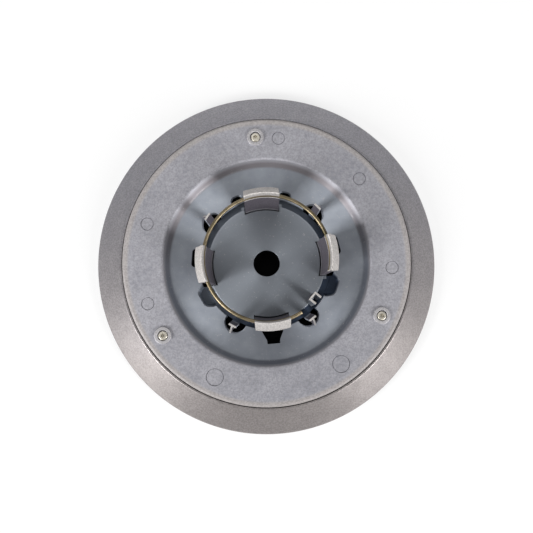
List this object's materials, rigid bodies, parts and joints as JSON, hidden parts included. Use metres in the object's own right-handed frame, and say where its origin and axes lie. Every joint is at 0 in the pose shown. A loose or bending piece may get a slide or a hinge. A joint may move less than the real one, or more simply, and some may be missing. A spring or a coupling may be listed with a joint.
{
  "type": "wheel center cap",
  "caption": "Round wheel center cap seen from its clip side: painted cover, screwed back plate with hooked clip tabs, spring wire ring and posts",
  "frame": {"origin": "Centre of the front face's plane, on the cap's axis; the cap lies face down on it", "axes": "+Z points out of the back, the side that clips into the wheel; +Y runs through the clip tab above the first screw; +X completes the right-handed frame"},
  "size_m": [0.168, 0.168, 0.0364],
  "materials": {
    "painted_cover": "silver paint on moulded ABS, satin",
    "moulded_plate": "grey ABS, as moulded, lightly weathered",
    "spring_wire": "brass-coloured plating on spring steel wire",
    "zinc_screw": "zinc-plated steel"
  },
  "bodies": {
    "root": {"front_cover": "painted_cover", "back_plate": "moulded_plate", "wire_ring": "spring_wire", "screw_1": "zinc_screw", "screw_2": "zinc_screw", "screw_3": "zinc_screw"}
  },
  "joints": []
}
